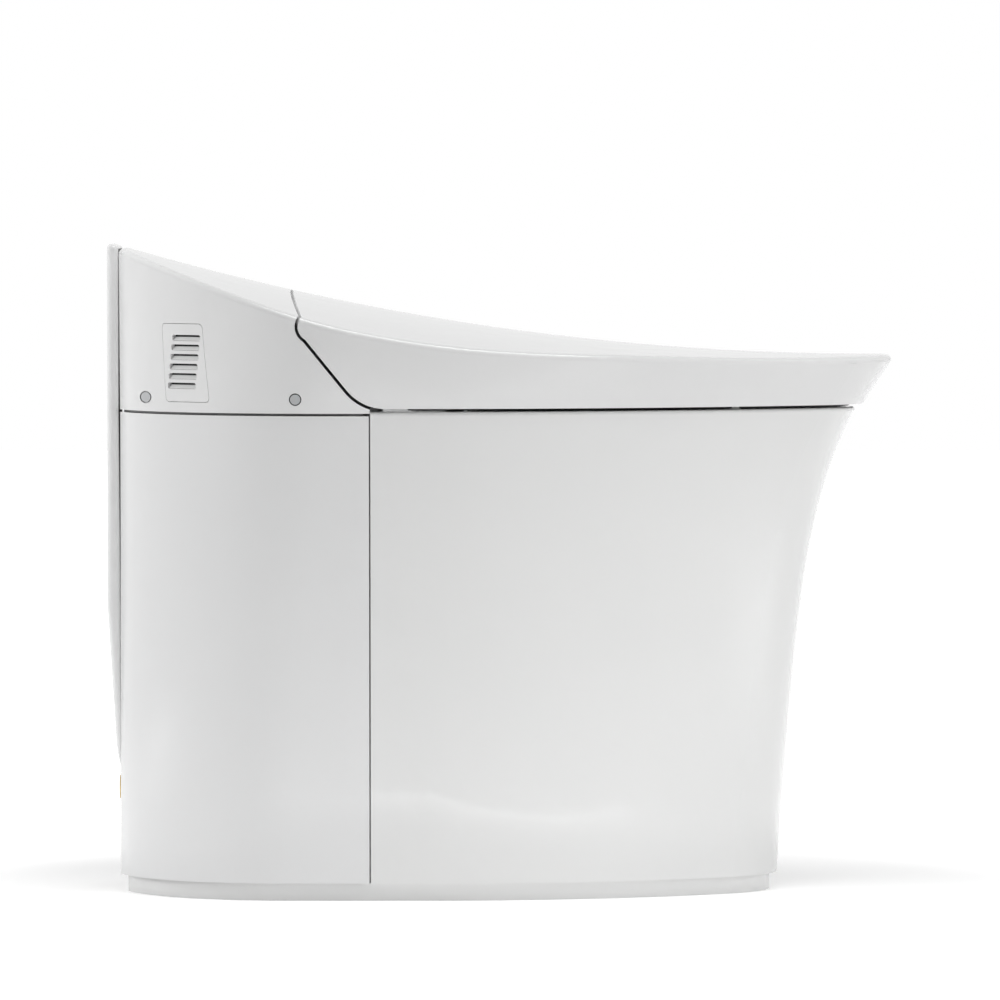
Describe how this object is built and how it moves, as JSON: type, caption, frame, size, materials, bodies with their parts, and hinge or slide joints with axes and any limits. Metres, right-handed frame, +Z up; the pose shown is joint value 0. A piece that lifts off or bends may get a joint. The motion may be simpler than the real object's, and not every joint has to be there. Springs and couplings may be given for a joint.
{
  "type": "smart toilet",
  "caption": "One-piece skirted floor toilet with a heated seat and lid on a rear tower, spray wand, warm-air dryer, filter drawer and hidden trapway.",
  "frame": {"origin": "on the floor, under the middle of the outside box", "axes": "+X towards the front of the bowl, +Y towards the user's left, +Z up"},
  "size_m": [0.684, 0.4228, 0.5638],
  "materials": {
    "china": "glazed",
    "shell_white": "gloss",
    "lid_white": "gloss",
    "seat_white": "gloss",
    "panel_white": "gloss",
    "cap_grey": "satin",
    "grille_white": "satin",
    "dark_plastic": "matte",
    "inner_white": "matte",
    "pipe_grey": "satin",
    "rubber_grey": "matte",
    "pad_rubber": "matte",
    "steel": "brushed",
    "brass": "satin",
    "board_green": "satin",
    "heater_foil": "satin",
    "carbon": "matte"
  },
  "bodies": {
    "base": {"bowl_casting": "china", "bowl_basin": "china", "trap_inlet": "pipe_grey", "trapway": "pipe_grey", "outlet_connector": "pipe_grey", "outlet_gasket": "rubber_grey", "side_panel_right": "panel_white", "side_panel_left": "panel_white", "tower_base": "dark_plastic", "tower_shell": "shell_white", "rear_cover": "shell_white", "screw_caps": "cap_grey", "button_bezel": "cap_grey", "hinge_housing": "inner_white", "hinge_pins": "steel", "lid_drive_unit": "dark_plastic", "seat_drive_unit": "dark_plastic", "nozzle_bay": "inner_white", "wand_rail": "inner_white", "dryer_fan_housing": "dark_plastic", "power_supply": "dark_plastic", "control_board": "board_green", "water_heater": "inner_white", "inlet_fitting": "brass", "cable_gland": "rubber_grey", "flush_valve": "dark_plastic"},
    "seat": {"seat_top": "seat_white", "seat_base": "seat_white", "seat_heater": "heater_foil", "seat_bumpers": "pad_rubber"},
    "lid": {"lid_shell": "lid_white", "lid_bumpers": "pad_rubber"},
    "wand": {"wand_tube": "steel", "wand_tip": "inner_white"},
    "filter": {"filter_grille": "grille_white", "filter_cartridge": "carbon"},
    "flap": {"dryer_flap": "inner_white"},
    "impeller": {"dryer_impeller": "inner_white"},
    "flush": {"flush_button": "grille_white"},
    "stop": {"stop_button": "grille_white"}
  },
  "joints": [
    {"name": "seat_lift", "type": "hinge", "parent": "base", "child": "seat", "pos_m": [-0.16, 0, 0.495], "axis": [0, -1, 0], "range_deg": [0, 90]},
    {"name": "lid_open", "type": "hinge", "parent": "seat", "child": "lid", "pos_m": [-0.16, 0, 0.495], "axis": [0, 1, 0], "range_deg": [-95, 0]},
    {"name": "wand_extend", "type": "slide", "parent": "base", "child": "wand", "axis": [0.8829, 0, -0.4695], "range_m": [0, 0.09]},
    {"name": "filter_pull", "type": "slide", "parent": "base", "child": "filter", "axis": [-0.6871, -0.7266, 0], "range_m": [0, 0.06]},
    {"name": "dryer_flap_swing", "type": "hinge", "parent": "base", "child": "flap", "pos_m": [-0.0552, -0.025, 0.413], "axis": [0, -1, 0], "range_deg": [0, 70]},
    {"name": "impeller_spin", "type": "hinge", "parent": "base", "child": "impeller", "pos_m": [-0.245, -0.025, 0.462], "axis": [0, 1, 0], "continuous": true},
    {"name": "flush_press", "type": "slide", "parent": "base", "child": "flush", "axis": [0.6871, -0.7266, 0], "range_m": [0, 0.002], "stiffness_N_per_m": 400},
    {"name": "stop_press", "type": "slide", "parent": "base", "child": "stop", "axis": [0.6871, -0.7266, 0], "range_m": [0, 0.002], "stiffness_N_per_m": 400}
  ]
}
